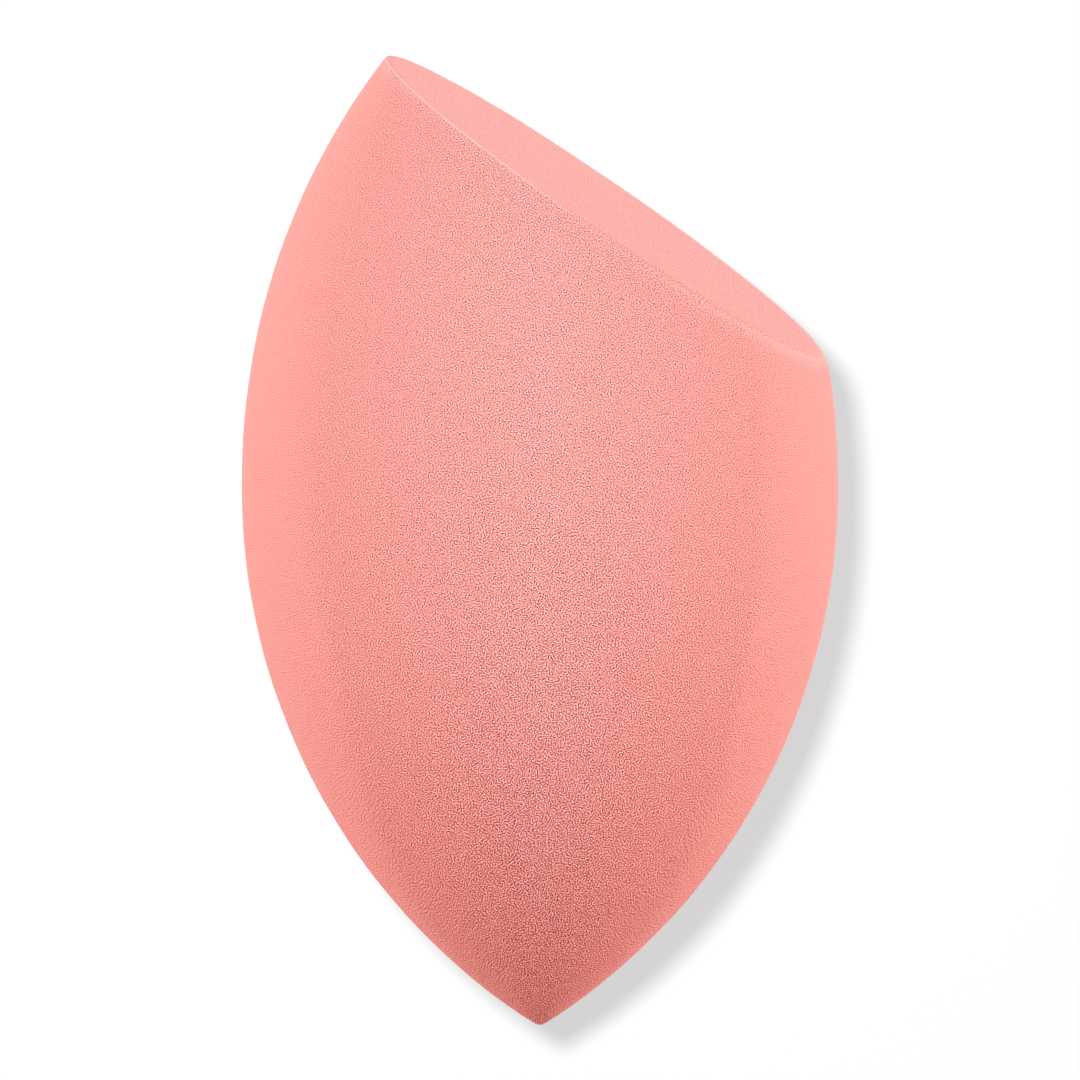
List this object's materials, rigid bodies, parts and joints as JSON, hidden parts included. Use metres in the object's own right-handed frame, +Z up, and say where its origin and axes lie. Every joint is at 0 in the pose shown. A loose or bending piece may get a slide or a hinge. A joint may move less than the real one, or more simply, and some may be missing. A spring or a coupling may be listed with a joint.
{
  "type": "makeup sponge",
  "caption": "Almond-shaped foam sponge for blending makeup, with a pointed tip, rounded flanks and one flat slanted face, lying on its side.",
  "frame": {"origin": "on the small flat that the flank makes where it rests on the table, straight below the middle of the widest place", "axes": "+Y along the long axis from the point to the sliced end, +X the side that the slanted face looks towards, +Z up from the table"},
  "size_m": [0.04, 0.0652, 0.0395],
  "materials": {
    "coral_foam": "soft fine-celled foam, dry and velvety"
  },
  "bodies": {
    "root": {"foam_sponge": "coral_foam"}
  },
  "joints": []
}
